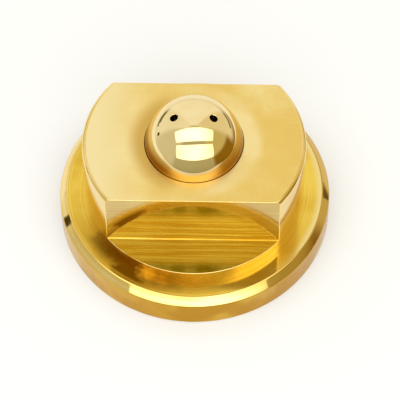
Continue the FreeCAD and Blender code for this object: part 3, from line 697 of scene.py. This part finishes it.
def room_zone(tree, azimuth, half_width, low, high, soft):
    """How much a direction lies in a part of the room: 1 inside, 0 outside, in degrees; 0 is the front."""
    direction = add(tree, "ShaderNodeTexCoord").outputs["Generated"]
    height = add(tree, "ShaderNodeSeparateXYZ", {0: direction}).outputs[2]
    level = add(tree, "ShaderNodeVectorMath", {0: direction}, {1: (1, 1, 0)}, operation="MULTIPLY")
    level = add(tree, "ShaderNodeVectorMath", {0: level.outputs[0]}, operation="NORMALIZE")
    aim = (math.sin(math.radians(azimuth)), -math.cos(math.radians(azimuth)), 0)
    facing = add(tree, "ShaderNodeVectorMath", {0: level.outputs[0]}, {1: aim}, operation="DOT_PRODUCT")
    wide = soft_step(tree, facing.outputs["Value"], math.cos(math.radians(min(half_width + soft, 180))),
                     math.cos(math.radians(half_width)))
    above = soft_step(tree, height, math.sin(math.radians(low - soft)), math.sin(math.radians(low)))
    below = soft_step(tree, height, math.sin(math.radians(min(high + soft, 90))) + 1e-3,
                      math.sin(math.radians(high)))
    return all_of(tree, wide, above, below)


ROOM = "b8b498"
ROOM_ZONES = [
    # azimuth, half width, lowest, highest, softness (degrees) and colour
    (-95, 45, -80, 62, 14, "d8d5c4"),
    (100, 50, 10, 50, 12, "cdc08a"),
    (100, 50, -80, 8, 10, "8f6c1c"),
    (-150, 40, 2, 75, 16, "f6f4ec"),
    (150, 40, 2, 75, 16, "eae2c8"),
    (0, 180, 74, 90, 16, "fbfaf6"),
    (180, 60, -2, 1.2, 1, "77704e"),
    (-138, 12, -2, 4, 2, "77704e"),
    (-105, 2, 2, 7, 1.5, "4c4020"),
]
BACKDROP = (180, 28, 2, 75, 12)         # the white paper behind, as a zone


def make_world():
    """A small studio: white paper behind and above, a pale wall on the left, a warm dim room on the right."""
    world = bpy.data.worlds.new("studio")
    bpy.context.scene.world = world
    world.use_nodes = True
    tree = world.node_tree
    tree.nodes.clear()
    room = add(tree, "ShaderNodeRGB")
    room.outputs[0].default_value = linear(ROOM)
    colour = room.outputs[0]
    for *zone, tint in ROOM_ZONES:
        colour = add(tree, "ShaderNodeMix", {0: room_zone(tree, *zone), 6: colour}, {7: linear(tint)},
                     data_type="RGBA").outputs[2]
    soft = add(tree, "ShaderNodeBackground", {"Color": colour})
    white = add(tree, "ShaderNodeBackground", values={"Color": (1, 1, 1, 1)})
    camera, mirrored = sight_rays(tree)
    backdrop = all_of(tree, mirrored, room_zone(tree, *BACKDROP))
    seen = add(tree, "ShaderNodeMath", {0: camera, 1: backdrop}, operation="MAXIMUM")
    mix = add(tree, "ShaderNodeMixShader", {0: seen.outputs[0], 1: soft.outputs[0], 2: white.outputs[0]})
    add(tree, "ShaderNodeOutputWorld", {"Surface": mix.outputs[0]})


SOFTBOX_DISTANCE = 1.0      # in metres
SOFTBOX_SPREAD = 125        # in degrees; the less it is, the dimmer are a softbox's edges


def softbox(name, azimuth, low, high, half_width, level):
    """A soft panel that fills the given angles, in degrees, as the object sees it, facing it.

    Level is how bright its middle looks, 1 being white.
    """
    elevation = (low + high) / 2
    data = bpy.data.lights.new(name, "AREA")
    data.shape = "RECTANGLE"
    data.size = 2 * SOFTBOX_DISTANCE * math.tan(math.radians(half_width))
    data.size_y = 2 * SOFTBOX_DISTANCE * math.tan(math.radians((high - low) / 2))
    data.spread = math.radians(SOFTBOX_SPREAD)
    half = data.spread / 2
    middle_gain = math.tan(half) / (math.tan(half) - half)
    data.energy = level / middle_gain * data.size * data.size_y * math.pi
    obj = bpy.data.objects.new(name, data)
    bpy.context.scene.collection.objects.link(obj)
    a, e = math.radians(azimuth), math.radians(elevation)
    back = Vector((math.sin(a) * math.cos(e), -math.cos(a) * math.cos(e), math.sin(e)))
    obj.location = back * SOFTBOX_DISTANCE
    obj.rotation_mode = "QUATERNION"
    obj.rotation_quaternion = (-back).to_track_quat("-Z", "Y")


def make_camera():
    """Long lens, looking down on the regulator from the front and a little to its right."""
    radius = FLANGE_RADIUS * MM
    elevation, turn, roll = 0.9914, 0.0291, 0.0089
    distance = 17.75 * radius
    side, lift = 0.0389 * radius, 0.058 * radius
    right = Vector((1, 0, 0))
    up = Vector((0, math.sin(elevation), math.cos(elevation)))
    back = Vector((0, -math.cos(elevation), math.sin(elevation)))
    rolled_right = right * math.cos(roll) - up * math.sin(roll)
    rolled_up = up * math.cos(roll) + right * math.sin(roll)
    matrix = Matrix((rolled_right, rolled_up, back)).transposed().to_4x4()
    matrix.translation = back * distance + right * side + up * lift
    data = bpy.data.cameras.new("camera")
    data.sensor_width = 36
    data.lens = 212.6
    data.clip_start = 0.01
    camera = bpy.data.objects.new("camera", data)
    bpy.context.scene.collection.objects.link(camera)
    camera.matrix_world = Matrix.Rotation(turn, 4, "Z") @ matrix
    bpy.context.scene.camera = camera


make_floor()
make_world()
softbox("overhead_softbox", azimuth=4, low=63, high=94, half_width=43, level=2.0)
softbox("front_softbox", azimuth=4, low=19, high=55, half_width=43, level=2.0)
make_camera()
bpy.context.scene.view_settings.view_transform = "Standard"
